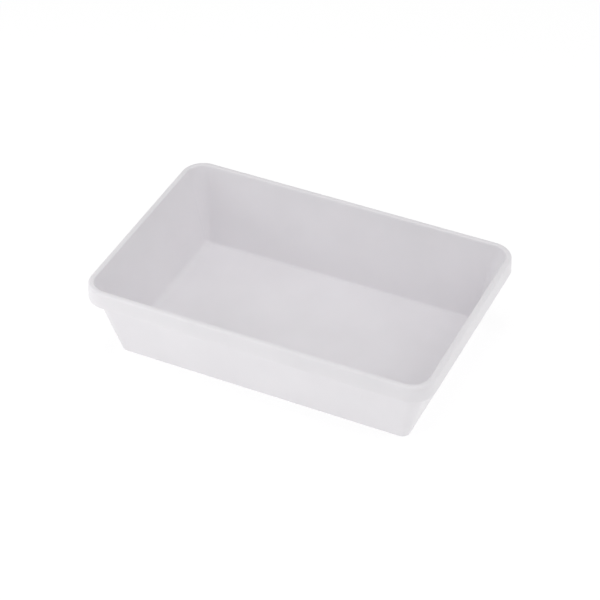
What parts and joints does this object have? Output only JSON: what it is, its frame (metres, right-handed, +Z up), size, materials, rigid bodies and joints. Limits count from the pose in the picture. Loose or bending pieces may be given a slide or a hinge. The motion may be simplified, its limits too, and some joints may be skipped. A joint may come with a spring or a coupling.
{
  "type": "paint roller tray",
  "caption": "Plain rectangular paint tray with leaning walls, a flat floor, rounded corners and a turned-down rim.",
  "frame": {"origin": "middle of the plane that the tray stands on", "axes": "+X along the length, +Y across the width, +Z up out of the open top"},
  "size_m": [0.23, 0.152, 0.055],
  "materials": {
    "white_plastic": "semi-matt moulded white polypropylene"
  },
  "bodies": {
    "root": {"tray": "white_plastic"}
  },
  "joints": []
}
